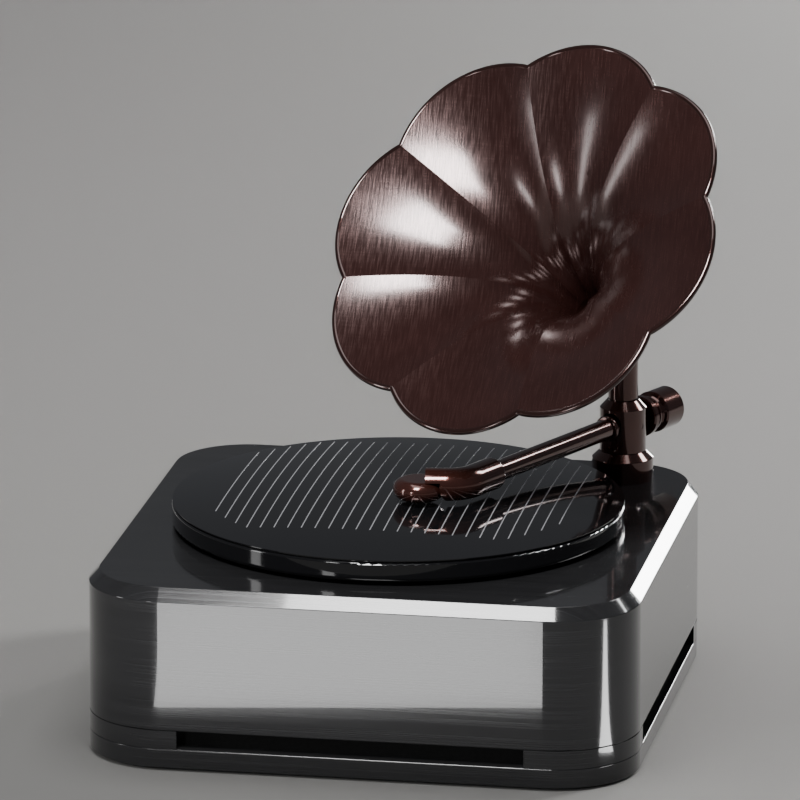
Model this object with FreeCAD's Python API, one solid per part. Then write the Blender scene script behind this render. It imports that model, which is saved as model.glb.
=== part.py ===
import FreeCAD, Part
import math
import os

# Horn record player: a glossy square plinth carries a belt-driven platter with a domed record.
# A column in the back right corner carries the tonearm, its counterweight and, on top, a
# flower horn of eight petals. A compression driver under the column plays up through it.
# Millimetres, +Z up. The origin is the centre of the plinth's underside, +Y is the back.

V = FreeCAD.Vector
UP = V(0, 0, 1)

# ---- plinth
PLINTH_SIZE = 360.0          # plan, square
CORNER_R = 55.0
FELT_T = 1.5
BOARD_T = 13.0
SLOT_H = 12.1                # open slot between the bottom board and the body
BODY_H = 94.2
WALL = 6.0
TOP_T = 8.0
BEVEL_W = 7.1                # top edge bevel, across
BEVEL_H = 8.0                # and down
EDGE_ROUND = 0.9
SLOT_HALF = 113.0            # half the length of each side's slot
SPACER_DEPTH = 24.0
BAFFLE_SETBACK = 10.0
BAFFLE_T = 3.0
FELT_INSET = 4.0
BOSS_R = 7.0
BOSS_INSET = 24.0            # from the plinth's side to a boss's axis
FIT_GAP = 0.05               # radial clearance of shafts, pins and screws
HEAD_SINK = 2.0              # base screw heads sit this far up in their counterbores
HEAD_ROOM = 0.4              # round a screw head in its counterbore
FELT_ROOM = 2.0              # round a screw head in the felt
TAP_ROOM = 1.0               # beyond a screw's tip in its hole
KEY_R_SHARE = 0.8            # a screw's key socket, as a share of the shank's radius
M3_R, M3_HEAD_R, M3_HEAD_H, M3_BITE = 1.5, 2.8, 2.4, 5.0
M4_R, M4_HEAD_R, M4_HEAD_H, M4_BITE = 2.0, 3.8, 3.0, 20.0

# ---- amplifier, on posts on the bottom board
AMP_X, AMP_Y, AMP_W, AMP_D, AMP_T = 40.0, -70.0, 110.0, 70.0, 1.6
AMP_HOLE_INSET = 6.0
POST_R, POST_H, POST_BITE = 3.0, 6.0, 4.0
CAN_R, CAN_H, CAN_PITCH, CAN_COUNT = 6.5, 20.0, 16.0, 3
CAN_X, CAN_Y = -28.0, 14.0   # the first capacitor, from the board's middle
SINK_X, SINK_Y = 29.0, -6.0  # the heat sink, from the board's middle
SINK_W, SINK_D, SINK_H, SINK_BASE = 34.0, 24.0, 18.0, 4.0
FIN_GAPS, FIN_PITCH, FIN_GAP_W = 6, 5.0, 2.6
FIN_START = 3.0              # from the sink's side to its first gap

# ---- platter and record
PLATTER_GAP = 2.5            # between the plinth's top and the platter
PLATTER_R = 148.5
PLATTER_H = 13.2
PLATTER_WEB = 4.6
RECESS_R = 84.0
MAT_T = 0.8
MAT_INSET = 2.5
RECORD_R = 148.0
DOME_R = 1424.0              # the record's top is a shallow dome
RECORD_CENTRE_T = 8.6
SPINDLE_R = 3.6
SPINDLE_UP = 3.5
SPINDLE_ROUND = 1.4
PLATTER_ROUND_TOP = 1.4
PLATTER_ROUND_LOW = 3.2
LINE_PITCH = 9.0
LINE_FIRST = -110.2
LINE_COUNT = 26
LINE_W = 0.7
LINE_DEPTH = 0.25
LINE_FRONT = 94.0            # the inlay field is cut straight at the front and the back
LINE_BACK = 124.0
LINE_FRONT_R = RECORD_R - 22.5
LINE_BACK_R = RECORD_R - 5.5

# ---- drive
SHAFT_R = 5.0
BEARING_R = 12.0
BEARING_LEN = 48.0
BEARING_FLOOR = 4.0
FLANGE_R = 24.0
FLANGE_T = 4.0
BALL_R = 2.5
BALL_GAP = 0.1
SHAFT_ROOM = 3.0             # round the shaft where it passes through the plinth's top
SUB_R = 50.0
SUB_RIM = 6.0
SUB_WEB = 3.0
HUB_R = 14.0
SUB_UP = 1.3                 # above the plinth's top gap
PULLEY_R = 5.0
PULLEY_H = 6.0
PULLEY_LIP = 1.8
PULLEY_LIP_T = 0.8
PULLEY_ROOM = 1.2            # round the pulley in its hole in the plinth's top
BELT_T = 1.2
BELT_W = 3.8
BELT_GAP = 0.3
MOTOR_X, MOTOR_Y = -64.0, -30.0
MOTOR_R = 18.0
MOTOR_LEN = 36.0
MOTOR_PLATE = 52.0
MOTOR_PLATE_T = 3.0
MOTOR_HOLE_INSET = 5.0
MOTOR_BOSS_R = 4.0
MOTOR_FLOOR = 6.0            # solid end of the can, under its shaft
MOTOR_SHAFT_R = 1.5
MOTOR_SHAFT_GAP = 1.0

# ---- column, tonearm and counterweight. What surrounds the sound tube is sized from it.
COL_X, COL_Y = 127.7, 136.3
TUBE_R = 6.5
TUBE_WALL = 2.0
TUBE_BORE = TUBE_R - TUBE_WALL
BUSH_WALL = 2.5
BUSH_R = TUBE_R + BUSH_WALL
RING_CLEAR = 1.4             # between the sound tube and the gimbal ring, which tips
RING_BORE = TUBE_R + RING_CLEAR
RING_WALL = 3.6
RING_R = RING_BORE + RING_WALL
RING_H = 9.0
RING_ROOM = 1.5              # between the gimbal ring and the housing's wall
HOUSING_WALL = 2.5
HOUSING_R = RING_R + RING_ROOM + HOUSING_WALL
COLLAR_STEP = 5.0
COLLAR_R = HOUSING_R + COLLAR_STEP
COLLAR_H = 14.7
COLLAR_CONE_H = 4.7
COLLAR_EDGE = 0.5
HOUSING_FLOOR = 4.0
HOUSING_TOP = 49.0           # above the plinth, as are the next three
CAP_TOP = 54.3
ARM_UP = 37.4
CAP_LAND = 1.6
CAP_R = BUSH_R + CAP_LAND
WASHER_RIM = 6.5
WASHER_T = 0.5
WASHER_PLAY = 0.1
HORN_WASHER_T = 1.0
HORN_WASHER_GAP = 0.2        # between the housing's cap and the horn's washer
AZIMUTH = 25.4               # arm and horn point this far left of straight ahead
ARM_R = 7.0
ARM_WALL = 1.0
ARM_ROOM = 0.5               # round the arm and the stub in the housing
LIFT_ROOM = 0.6              # and beyond their travel, up and down
PIN_R = 1.5
PIN_BACK = 0.6               # from the gimbal ring's bore to a pivot pin's inner end
PIN_SINK = 0.3               # from the housing's face to its outer end
LIFT = 7.0                   # the arm's upward travel, degrees
SHELL_R = 10.75
SHELL_WALL = 2.5
SHELL_START = 151.5
SHELL_SOCKET = 6.0
SHELL_EDGE = 1.5
BOX_X, BOX_Y = 19.6, -32.8   # soundbox centre
BOX_R = 17.2
BOX_CLEAR = 1.6              # between the soundbox's rim and the headshell's lower half
BOX_HEADROOM = 0.1           # between the soundbox's top and the headshell's upper half
BOX_H = 13.3
BOX_BAND = 0.1               # height of the upright band left between its two full rounds
BOX_WALL = 4.5
BOX_HOLLOW = 6.0
COIL_R = 7.5
CORE_R = 4.0
CORE_H = 5.0
HOLDER_R = 2.0
HOLDER_T = 0.6
NEEDLE_BACK = 8.0            # the needle stands this far from the soundbox's centre
NEEDLE_TIP_R = 0.15
NEEDLE_ROOT_R = 0.7
NEEDLE_GAP = 0.2             # the needle is lifted this far off the record
BOX_UP = 33.9                # its mid height above the plinth
BEND_REACH = 185.5           # the headshell's bend, from the column's axis
BEND_R = 20.0
TONGUE_X, TONGUE_Y = 24.0, -34.5
POST_SHIFT = 3.5             # from the tongue's end to the mounting post
MOUNTING_R = 2.2
MOUNTING_SINK = 1.0          # the post stops this far below the tongue's top
FERRULE_GAP = 1.7            # room for the ring on the arm's root to tip back in
FERRULE_LEN = 3.3
FERRULE_RIM = 1.8
FERRULE_ROUND = 1.2
STUB_R = 4.0
STUB_ROOM = 2.5              # beyond the stub's end, inside the counterweight
WEIGHT_GAP = 3.5             # between the housing and the counterweight
WEIGHT_START = HOUSING_R + WEIGHT_GAP
STUB_END = WEIGHT_START + 33.0
WEIGHT_R = 13.9
WEIGHT_DRUM_END = 33.4       # from its front to where its rounded end starts
WEIGHT_CROWN = 5.6

# ---- compression driver, hung from the sound tube
DRIVER_R = 24.0
NUT_WALL = 4.5
NUT_H = 8.0
THROAT_T = 6.0
SNOUT_WALL = 3.5
SNOUT_LEN = 20.0
MAGNET_BORE_R = 14.0
MAGNET_H = 18.0
COVER_H = 7.0
COVER_ROUND = 3.0
DIAPHRAGM_R = 14.0           # radius of its dome's sphere
DIAPHRAGM_T = 0.4
DIAPHRAGM_DEPTH = 4.0
DIAPHRAGM_GAP = 0.5          # between the dome's top and the throat
SURROUND_BORE = 9.0

# ---- horn
HORN_PIPE_WALL = 3.45
HORN_PIPE_R = TUBE_R + FIT_GAP + HORN_PIPE_WALL
HORN_UP = 91.0               # where the horn's axis meets the column's
HORN_ELEVATION = 39.7
HORN_LEN = 154.7
HORN_MOUTH_R = 142.3
HORN_FLARE = 39.3            # the flare's radius falls by e over this depth
HORN_T = 1.2
CUSP = 0.914                 # crease radius over petal tip radius
PETALS = 8
THROAT_DEPTH = 104.0
THROAT_FADE = 12.0
BEAD_R = 2.1
BEAD_BACK = 1.9              # the bead's centre is this far behind the rim
ELBOW_R = 25.0
ELBOW_WALL = 1.8
PIPE_STOP = 13.0             # the elbow starts this far below the horn's axis
TUBE_SHORT = 2.0             # the sound tube ends this far inside the horn's pipe
NECK_START = 20.0            # along the horn's axis, as are the next two
HORN_FERRULE_START = 15.0
HORN_FERRULE_END = 26.0
HORN_FERRULE_RIM = 2.6
HORN_FERRULE_ROUND = 1.6
HORN_FERRULE_LIP = 0.6       # it grips the neck's end by this much
PETAL_ROWS, PETAL_COLUMNS = 15, 8    # spans of a petal's surface, by depth and round the axis
ROW_CROWDING = 1.5           # rows crowd towards the mouth by this power
BEAD_SPANS = 12              # spans round half a bead

# ---- rear panel
SWITCH_X, SOCKET_X, PANEL_UP = -110.0, -80.0, 26.0
SWITCH_W, SWITCH_H, SWITCH_DEEP = 19.0, 12.6, 18.0
SWITCH_LIP, SWITCH_LIP_T, SWITCH_SIDE = 1.5, 1.2, 2.0
SOCKET_R, SOCKET_BORE, SOCKET_DEEP, SOCKET_WELL = 5.5, 3.2, 15.0, 10.0
SOCKET_LIP, SOCKET_LIP_T = 1.5, 1.5
SOCKET_PIN_R, SOCKET_PIN_LEN = 1.0, 9.5
ROCKER_SINK = 1.6            # from the panel's face in to the rocker's axis
ROCKER_R = 4.6
ROCKER_ROOM = 0.4
ROCKER_FACE = 2.4            # from its axis out to the ridge between its two flats
ROCKER_SLOPE = 14.0          # each flat's slope, degrees
ROCKER_TILT = 9.0            # it rests tipped this far one way and travels to the other

# ---- derived heights
BOARD_TOP = FELT_T + BOARD_T
BODY_Z = BOARD_TOP + SLOT_H
TOP = BODY_Z + BODY_H
CEILING = TOP - TOP_T
PLATTER_Z = TOP + PLATTER_GAP
PLATTER_TOP = PLATTER_Z + PLATTER_H
RECORD_Z = PLATTER_TOP + MAT_T
RECORD_TOP = RECORD_Z + RECORD_CENTRE_T
BOSS = PLINTH_SIZE / 2 - BOSS_INSET
REAR = PLINTH_SIZE / 2
REAR_Z = BODY_Z + PANEL_UP
NEAR = 0.01                  # lengths this close count as equal

ARM_DIR = V(-math.sin(math.radians(AZIMUTH)), -math.cos(math.radians(AZIMUTH)), 0)
SIDE_DIR = V(-ARM_DIR.y, ARM_DIR.x, 0)
ARM_Z = TOP + ARM_UP
PIVOT = V(COL_X, COL_Y, ARM_Z)


def cyl(r, h, x=0.0, y=0.0, z=0.0, axis=UP):
    return Part.makeCylinder(r, h, V(x, y, z), axis)


def rod(r, start, end):
    return Part.makeCylinder(r, (end - start).Length, start, (end - start).normalize())


def ring(r_out, r_in, h, x, y, z):
    return cyl(r_out, h, x, y, z).cut(cyl(r_in, h, x, y, z))


def box(x0, x1, y0, y1, z0, z1):
    return Part.makeBox(x1 - x0, y1 - y0, z1 - z0, V(x0, y0, z0))


def save(name, shape):
    solids = shape.Solids
    shape = solids[0] if len(solids) == 1 else Part.makeCompound(solids)
    if not shape.isValid():
        print("not valid:", name)
    shape.exportStep("parts/" + name + ".step")


def rounded_wire(size, r, z):
    """A square outline with round corners, at height z."""
    h, c = size / 2, size / 2 - r
    edges = []
    for k in range(4):
        turn = FreeCAD.Rotation(UP, 90 * k)
        side = [turn.multVec(p) for p in (V(h, -c, z), V(h, c, z))]
        d = r * math.sqrt(0.5)
        arc = [turn.multVec(p) for p in (V(h, c, z), V(c + d, c + d, z), V(c, h, z))]
        edges.append(Part.LineSegment(*side).toShape())
        edges.append(Part.Arc(*arc).toShape())
    return Part.Wire(edges)


def rounded_slab(size, r, z, h):
    return Part.Face(rounded_wire(size, r, z)).extrude(V(0, 0, h))


def edges_at(shape, z):
    """Edges that lie wholly at height z."""
    box_z = [(e, e.BoundBox) for e in shape.Edges]
    return [e for e, b in box_z if abs(b.ZMin - z) < 1e-4 and abs(b.ZMax - z) < 1e-4]


def corners():
    return [(sx * BOSS, sy * BOSS) for sx in (-1, 1) for sy in (-1, 1)]


def plinth_body():
    """Outside of the body: straight sides, a bevel round the top, softened edges."""
    lower = rounded_slab(PLINTH_SIZE, CORNER_R, BODY_Z, BODY_H - BEVEL_H)
    bevel = Part.makeLoft([rounded_wire(PLINTH_SIZE, CORNER_R, TOP - BEVEL_H),
                           rounded_wire(PLINTH_SIZE - 2 * BEVEL_W, CORNER_R - BEVEL_W, TOP)],
                          True, True)
    body = lower.fuse(bevel).removeSplitter()
    for z in (TOP - BEVEL_H, TOP, BODY_Z):
        body = body.makeFillet(EDGE_ROUND, edges_at(body, z))
    return body


MOTOR_HOLE = MOTOR_PLATE / 2 - MOTOR_HOLE_INSET
MOTOR_HOLES = [(MOTOR_X + sx * MOTOR_HOLE, MOTOR_Y + sy * MOTOR_HOLE)
               for sx in (-1, 1) for sy in (-1, 1)]
BEARING_HOLE = (BEARING_R + FLANGE_R) / 2
BEARING_HOLES = [(BEARING_HOLE * math.cos(math.radians(a)), BEARING_HOLE * math.sin(math.radians(a)))
                 for a in (90, 210, 330)]


def plinth_shell():
    shell = plinth_body()
    shell = shell.cut(rounded_slab(PLINTH_SIZE - 2 * WALL, CORNER_R - WALL, BODY_Z,
                                   CEILING - BODY_Z))
    for x, y in corners():
        shell = shell.fuse(cyl(BOSS_R, CEILING - BODY_Z, x, y, BODY_Z))
    shell = shell.removeSplitter()
    cuts = [cyl(M4_R + FIT_GAP, M4_BITE + TAP_ROOM, x, y, BODY_Z) for x, y in corners()]
    for x, y in MOTOR_HOLES + BEARING_HOLES:
        cuts.append(cyl(M3_R + FIT_GAP, M3_BITE + TAP_ROOM, x, y, CEILING))
    cuts.append(cyl(SHAFT_R + SHAFT_ROOM, TOP_T, 0, 0, CEILING))
    cuts.append(cyl(PULLEY_R + PULLEY_LIP + PULLEY_ROOM, TOP_T, MOTOR_X, MOTOR_Y, CEILING))
    cuts.append(cyl(TUBE_R, TOP_T, COL_X, COL_Y, CEILING))
    cuts.append(box(SWITCH_X - SWITCH_W / 2, SWITCH_X + SWITCH_W / 2, REAR - WALL, REAR,
                    REAR_Z - SWITCH_H / 2, REAR_Z + SWITCH_H / 2))
    cuts.append(cyl(SOCKET_R, WALL, SOCKET_X, REAR - WALL, REAR_Z, V(0, 1, 0)))
    return shell.cut(Part.makeCompound(cuts))


def corner_spacers():
    band = rounded_slab(PLINTH_SIZE, CORNER_R, BOARD_TOP, SLOT_H)
    inner = PLINTH_SIZE - 2 * SPACER_DEPTH
    band = band.cut(rounded_slab(inner, CORNER_R - SPACER_DEPTH, BOARD_TOP, SLOT_H))
    reach = PLINTH_SIZE
    band = band.cut(box(-SLOT_HALF, SLOT_HALF, -reach, reach, BOARD_TOP, BODY_Z))
    band = band.cut(box(-reach, reach, -SLOT_HALF, SLOT_HALF, BOARD_TOP, BODY_Z))
    for x, y in corners():
        band = band.cut(cyl(M4_R + FIT_GAP, SLOT_H, x, y, BOARD_TOP))
    return band


def slot_baffles():
    far = PLINTH_SIZE / 2 - BAFFLE_SETBACK
    strip = box(-SLOT_HALF, SLOT_HALF, -far, -far + BAFFLE_T, BOARD_TOP, BODY_Z)
    strips = []
    for k in range(4):
        one = strip.copy()
        one.rotate(V(0, 0, 0), UP, 90 * k)
        strips.append(one)
    return Part.makeCompound(strips)


HEAD_Z = FELT_T + HEAD_SINK


def bottom_board():
    board = rounded_slab(PLINTH_SIZE, CORNER_R, FELT_T, BOARD_T)
    for z in (FELT_T, BOARD_TOP):
        board = board.makeFillet(EDGE_ROUND, edges_at(board, z))
    for x, y in corners():
        board = board.cut(cyl(M4_HEAD_R + HEAD_ROOM, HEAD_Z + M4_HEAD_H - FELT_T, x, y, FELT_T))
        board = board.cut(cyl(M4_R + FIT_GAP, BOARD_T, x, y, FELT_T))
    return board


def base_felt():
    felt = rounded_slab(PLINTH_SIZE - 2 * FELT_INSET, CORNER_R - FELT_INSET, 0, FELT_T)
    for x, y in corners():
        felt = felt.cut(cyl(M4_HEAD_R + FELT_ROOM, FELT_T, x, y, 0))
    return felt


def screw(r, head_r, head_h, x, y, z, length, down=False):
    """A socket screw whose head stands on z; the shank runs up from it, or down."""
    shank = cyl(r, length, x, y, z - length if down else z)
    head = cyl(head_r, head_h, x, y, z if down else z - head_h)
    socket_z = z + head_h / 2 if down else z - head_h
    return shank.fuse(head).cut(cyl(r * KEY_R_SHARE, head_h / 2, x, y, socket_z))


def base_screws():
    z = HEAD_Z + M4_HEAD_H
    long = BODY_Z + M4_BITE - z
    return Part.makeCompound([screw(M4_R, M4_HEAD_R, M4_HEAD_H, x, y, z, long)
                              for x, y in corners()])


AMP_Z = BOARD_TOP + POST_H
AMP_HOLES = [(AMP_X + sx * (AMP_W / 2 - AMP_HOLE_INSET), AMP_Y + sy * (AMP_D / 2 - AMP_HOLE_INSET))
             for sx in (-1, 1) for sy in (-1, 1)]


def m3_screws():
    """Fixings of the motor plate and bearing flange, under the top, and of the amplifier."""
    out = [screw(M3_R, M3_HEAD_R, M3_HEAD_H, x, y, CEILING - MOTOR_PLATE_T,
                 MOTOR_PLATE_T + M3_BITE) for x, y in MOTOR_HOLES]
    out += [screw(M3_R, M3_HEAD_R, M3_HEAD_H, x, y, CEILING - FLANGE_T,
                  FLANGE_T + M3_BITE) for x, y in BEARING_HOLES]
    out += [screw(M3_R, M3_HEAD_R, M3_HEAD_H, x, y, AMP_Z + AMP_T,
                  AMP_T + POST_BITE, True) for x, y in AMP_HOLES]
    return Part.makeCompound(out)


def amplifier_board():
    board = box(AMP_X - AMP_W / 2, AMP_X + AMP_W / 2, AMP_Y - AMP_D / 2, AMP_Y + AMP_D / 2,
                AMP_Z, AMP_Z + AMP_T)
    for x, y in AMP_HOLES:
        board = board.cut(cyl(M3_R + FIT_GAP, AMP_T, x, y, AMP_Z))
    return board


def board_posts():
    return Part.makeCompound([cyl(POST_R, POST_H, x, y, BOARD_TOP).cut(
        cyl(M3_R + FIT_GAP, POST_H, x, y, BOARD_TOP)) for x, y in AMP_HOLES])


def capacitors():
    z = AMP_Z + AMP_T
    return Part.makeCompound([cyl(CAN_R, CAN_H, AMP_X + CAN_X + CAN_PITCH * k, AMP_Y + CAN_Y, z)
                              for k in range(CAN_COUNT)])


def heat_sink():
    z = AMP_Z + AMP_T
    left = AMP_X + SINK_X - SINK_W / 2
    front, back = AMP_Y + SINK_Y - SINK_D / 2, AMP_Y + SINK_Y + SINK_D / 2
    block = box(left, left + SINK_W, front, back, z, z + SINK_H)
    for k in range(FIN_GAPS):
        x = left + FIN_START + FIN_PITCH * k
        block = block.cut(box(x, x + FIN_GAP_W, front, back, z + SINK_BASE, z + SINK_H))
    return block


# ---- platter drive
BEARING_Z = CEILING - FLANGE_T - BEARING_LEN
BALL_Z = BEARING_Z + BEARING_FLOOR
SHAFT_Z = BALL_Z + 2 * BALL_R + BALL_GAP


def bearing_housing():
    body = cyl(FLANGE_R, FLANGE_T, 0, 0, CEILING - FLANGE_T)
    body = body.fuse(cyl(BEARING_R, BEARING_LEN, 0, 0, BEARING_Z))
    body = body.cut(cyl(SHAFT_R + FIT_GAP, CEILING - BALL_Z, 0, 0, BALL_Z))
    for x, y in BEARING_HOLES:
        body = body.cut(cyl(M3_R + FIT_GAP, FLANGE_T, x, y, CEILING - FLANGE_T))
    return body.removeSplitter()


def thrust_ball():
    return Part.makeSphere(BALL_R, V(0, 0, BALL_Z + BALL_R))


def platter_shaft():
    shaft = cyl(SHAFT_R, PLATTER_TOP - SHAFT_Z, 0, 0, SHAFT_Z)
    pin = cyl(SPINDLE_R, RECORD_TOP + SPINDLE_UP - PLATTER_TOP, 0, 0, PLATTER_TOP)
    pin = pin.makeFillet(SPINDLE_ROUND, edges_at(pin, RECORD_TOP + SPINDLE_UP))
    return shaft.fuse(pin).removeSplitter()


SUB_Z = PLATTER_Z + SUB_UP
WEB_Z = PLATTER_TOP - PLATTER_WEB
BELT_Z = SUB_Z + (PULLEY_H - BELT_W) / 2


def grooved(r, x, y, z):
    """A pulley rim: the belt runs between two thin lips."""
    rim = cyl(r, PULLEY_H, x, y, z)
    for lip_z in (z, z + PULLEY_H - PULLEY_LIP_T):
        rim = rim.fuse(cyl(r + PULLEY_LIP, PULLEY_LIP_T, x, y, lip_z))
    return rim.removeSplitter()


def sub_platter():
    body = grooved(SUB_R, 0, 0, SUB_Z)
    body = body.cut(ring(SUB_R - SUB_RIM, HUB_R, PULLEY_H - SUB_WEB, 0, 0, SUB_Z))
    body = body.fuse(cyl(HUB_R, WEB_Z - SUB_Z, 0, 0, SUB_Z))
    return body.cut(cyl(SHAFT_R, WEB_Z - SUB_Z, 0, 0, SUB_Z))


def platter():
    body = cyl(PLATTER_R, PLATTER_H, 0, 0, PLATTER_Z)
    body = body.makeFillet(PLATTER_ROUND_TOP, edges_at(body, PLATTER_TOP))
    body = body.makeFillet(PLATTER_ROUND_LOW, edges_at(body, PLATTER_Z))
    body = body.cut(cyl(RECESS_R, WEB_Z - PLATTER_Z, 0, 0, PLATTER_Z))
    return body.cut(cyl(SHAFT_R, PLATTER_H, 0, 0, PLATTER_Z))


def platter_mat():
    return ring(PLATTER_R - MAT_INSET, SPINDLE_R + FIT_GAP, MAT_T, 0, 0, PLATTER_TOP)


def dome(lower=0.0):
    """The record's outer shape, with its top, a sphere's last ten degrees, lowered a little."""
    centre = V(0, 0, RECORD_TOP - DOME_R - lower)
    return cyl(RECORD_R, RECORD_CENTRE_T, 0, 0, RECORD_Z).common(
        Part.makeSphere(DOME_R, centre, UP, 80, 90, 360))


def line_boxes():
    """Blanks of the straight inlay lines, all parallel to Y, that reach through the skin."""
    blanks = []
    for k in range(LINE_COUNT):
        x = LINE_FIRST + LINE_PITCH * k
        front = min(LINE_FRONT, math.sqrt(LINE_FRONT_R ** 2 - x ** 2))
        back = min(LINE_BACK, math.sqrt(LINE_BACK_R ** 2 - x ** 2))
        blanks.append(box(x - LINE_W / 2, x + LINE_W / 2, -front, back, RECORD_Z + LINE_DEPTH,
                          RECORD_TOP + LINE_DEPTH))
    return Part.makeCompound(blanks)


def record_and_lines():
    whole = dome()
    whole = whole.cut(cyl(SPINDLE_R + FIT_GAP, RECORD_CENTRE_T + LINE_DEPTH, 0, 0, RECORD_Z))
    skin = whole.cut(dome(LINE_DEPTH))
    lines = skin.common(line_boxes())
    return whole.cut(lines), lines


MOTOR_Z = CEILING - MOTOR_PLATE_T - MOTOR_LEN
MOTOR_BORE_Z = MOTOR_Z + MOTOR_FLOOR


def motor_can():
    body = cyl(MOTOR_R, MOTOR_LEN, MOTOR_X, MOTOR_Y, MOTOR_Z)
    body = body.fuse(cyl(MOTOR_BOSS_R, MOTOR_PLATE_T, MOTOR_X, MOTOR_Y, CEILING - MOTOR_PLATE_T))
    return body.cut(cyl(MOTOR_SHAFT_R + FIT_GAP, CEILING - MOTOR_BORE_Z, MOTOR_X, MOTOR_Y,
                        MOTOR_BORE_Z))


def motor_plate():
    h = MOTOR_PLATE / 2
    plate = box(MOTOR_X - h, MOTOR_X + h, MOTOR_Y - h, MOTOR_Y + h, CEILING - MOTOR_PLATE_T,
                CEILING)
    plate = plate.cut(cyl(MOTOR_BOSS_R, MOTOR_PLATE_T, MOTOR_X, MOTOR_Y, CEILING - MOTOR_PLATE_T))
    for x, y in MOTOR_HOLES:
        plate = plate.cut(cyl(M3_R + FIT_GAP, MOTOR_PLATE_T, x, y, CEILING - MOTOR_PLATE_T))
    return plate


def motor_shaft():
    z = MOTOR_BORE_Z + MOTOR_SHAFT_GAP
    return cyl(MOTOR_SHAFT_R, SUB_Z + PULLEY_H - z, MOTOR_X, MOTOR_Y, z)


def motor_pulley():
    return grooved(PULLEY_R, MOTOR_X, MOTOR_Y, SUB_Z).cut(
        cyl(MOTOR_SHAFT_R, PULLEY_H, MOTOR_X, MOTOR_Y, SUB_Z))


def belt_outline(r_big, r_small, distance):
    """Outline of a belt round two pulleys, the small one at +X, at z = 0."""
    lean = math.acos((r_big - r_small) / distance)
    c, s = math.cos(lean), math.sin(lean)
    big = [V(r_big * c, r_big * s, 0), V(-r_big, 0, 0), V(r_big * c, -r_big * s, 0)]
    small = [V(distance + r_small * c, -r_small * s, 0), V(distance + r_small, 0, 0),
             V(distance + r_small * c, r_small * s, 0)]
    return Part.Wire([Part.Arc(*big).toShape(), Part.LineSegment(big[2], small[0]).toShape(),
                      Part.Arc(*small).toShape(), Part.LineSegment(small[2], big[0]).toShape()])


def drive_belt():
    distance = math.hypot(MOTOR_X, MOTOR_Y)
    rims = [SUB_R + BELT_GAP, PULLEY_R + BELT_GAP]
    inside = Part.Face(belt_outline(rims[0], rims[1], distance))
    outside = Part.Face(belt_outline(rims[0] + BELT_T, rims[1] + BELT_T, distance))
    belt = outside.cut(inside).extrude(V(0, 0, BELT_W))
    belt.rotate(V(0, 0, 0), UP, math.degrees(math.atan2(MOTOR_Y, MOTOR_X)))
    belt.translate(V(0, 0, BELT_Z))
    return belt


# ---- column and driver
def on_column(r, h, z):
    return cyl(r, h, COL_X, COL_Y, z)


THROAT_Z = CEILING - NUT_H - SNOUT_LEN


def driver_throat():
    """The driver's front: a flange with a snout that takes the sound tube."""
    body = on_column(DRIVER_R, THROAT_T, THROAT_Z)
    body = body.fuse(on_column(TUBE_R + SNOUT_WALL, SNOUT_LEN, THROAT_Z))
    body = body.cut(on_column(TUBE_R, SNOUT_LEN - THROAT_T, THROAT_Z + THROAT_T))
    return body.cut(on_column(TUBE_BORE, SNOUT_LEN, THROAT_Z))


def driver_magnet():
    return ring(DRIVER_R, MAGNET_BORE_R, MAGNET_H, COL_X, COL_Y, THROAT_Z - MAGNET_H)


def driver_diaphragm():
    """A thin dome with a flat surround, held between the throat and the magnet."""
    centre = V(COL_X, COL_Y, THROAT_Z - DIAPHRAGM_GAP - DIAPHRAGM_R)
    cap = Part.makeSphere(DIAPHRAGM_R, centre).cut(Part.makeSphere(DIAPHRAGM_R - DIAPHRAGM_T, centre))
    z = THROAT_Z - DIAPHRAGM_DEPTH
    cap = cap.common(on_column((SURROUND_BORE + MAGNET_BORE_R) / 2, DIAPHRAGM_DEPTH, z))
    surround = ring(MAGNET_BORE_R, SURROUND_BORE, DIAPHRAGM_T, COL_X, COL_Y, z)
    return cap.fuse(surround).removeSplitter()


def driver_cover():
    z = THROAT_Z - MAGNET_H - COVER_H
    body = on_column(DRIVER_R, COVER_H, z)
    return body.makeFillet(COVER_ROUND, edges_at(body, z))


def sound_tube():
    z = THROAT_Z + THROAT_T
    end = TOP + HORN_UP - PIPE_STOP - TUBE_SHORT
    return ring(TUBE_R, TUBE_BORE, end - z, COL_X, COL_Y, z)


def tube_nut():
    corner = TUBE_R + NUT_WALL
    wire = Part.makePolygon([V(COL_X + corner * math.cos(math.radians(60 * k)),
                               COL_Y + corner * math.sin(math.radians(60 * k)), CEILING - NUT_H)
                             for k in range(7)])
    return Part.Face(wire).extrude(V(0, 0, NUT_H)).cut(on_column(TUBE_R, NUT_H, CEILING - NUT_H))


COLLAR_TOP = TOP + COLLAR_H + COLLAR_CONE_H
HOUSING_Z = COLLAR_TOP + WASHER_T
CAP_Z = TOP + HOUSING_TOP
CAP_END = TOP + CAP_TOP


def column_collar():
    body = on_column(COLLAR_R, COLLAR_H, TOP)
    body = body.fuse(Part.makeCone(COLLAR_R, HOUSING_R, COLLAR_CONE_H,
                                   V(COL_X, COL_Y, TOP + COLLAR_H)))
    body = body.makeFillet(COLLAR_EDGE, edges_at(body, TOP + COLLAR_H))
    return body.cut(on_column(TUBE_R, COLLAR_TOP - TOP, TOP))


def thrust_washers():
    """One carries the arm housing, the other carries the horn."""
    return Part.makeCompound([ring(TUBE_R + WASHER_RIM, TUBE_R, WASHER_T - WASHER_PLAY,
                                   COL_X, COL_Y, COLLAR_TOP),
                              ring(BUSH_R, TUBE_R, HORN_WASHER_T,
                                   COL_X, COL_Y, CAP_END + HORN_WASHER_GAP)])


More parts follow.
